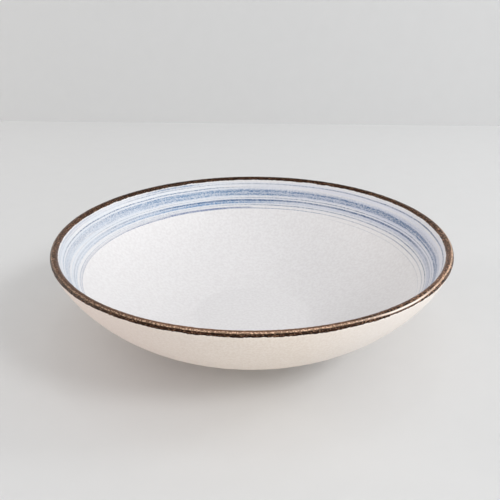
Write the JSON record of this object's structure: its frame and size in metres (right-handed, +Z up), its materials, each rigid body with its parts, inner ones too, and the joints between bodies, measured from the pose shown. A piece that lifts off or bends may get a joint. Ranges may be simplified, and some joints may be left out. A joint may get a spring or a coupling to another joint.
{
  "type": "bowl",
  "caption": "Wide, shallow round bowl on a low foot ring, glazed inside and out, with a brown rim and brushed blue bands inside below it.",
  "frame": {"origin": "centre of the plane on which the foot ring stands", "axes": "+Z up along the bowl's axis; the bowl is round, so X and Y are free"},
  "size_m": [0.23, 0.23, 0.062],
  "materials": {
    "clay": "bare fired clay, fine and slightly sandy",
    "foot_clay": "bare fired clay, wiped smooth where it stands",
    "white_glaze": "satin white glaze with a fine pebbled texture",
    "cream_glaze": "matt cream glaze, finely sandy",
    "brown_glaze": "glossy iron-brown glaze with golden flecks",
    "blue_wash": "pale blue wash under the glaze",
    "blue_stain": "brushed blue, broken up by the glaze",
    "deep_stain": "dark brushed blue line",
    "pale_stain": "soft brushed pale blue",
    "grey_stain": "thin brushed grey-blue",
    "violet_stain": "thin brushed violet-blue"
  },
  "bodies": {
    "root": {"clay_body": "clay", "foot_ring": "foot_clay", "inner_glaze": "white_glaze", "outer_glaze": "cream_glaze", "recess_glaze": "cream_glaze", "rim_glaze": "brown_glaze", "blue_wash": "blue_wash", "upper_hairline": "grey_stain", "second_hairline": "grey_stain", "main_blue_band": "blue_stain", "thin_blue_line": "blue_stain", "deep_blue_line": "deep_stain", "pale_blue_line": "pale_stain", "grey_line": "grey_stain", "violet_line": "violet_stain", "lowest_faint_line": "grey_stain"}
  },
  "joints": []
}
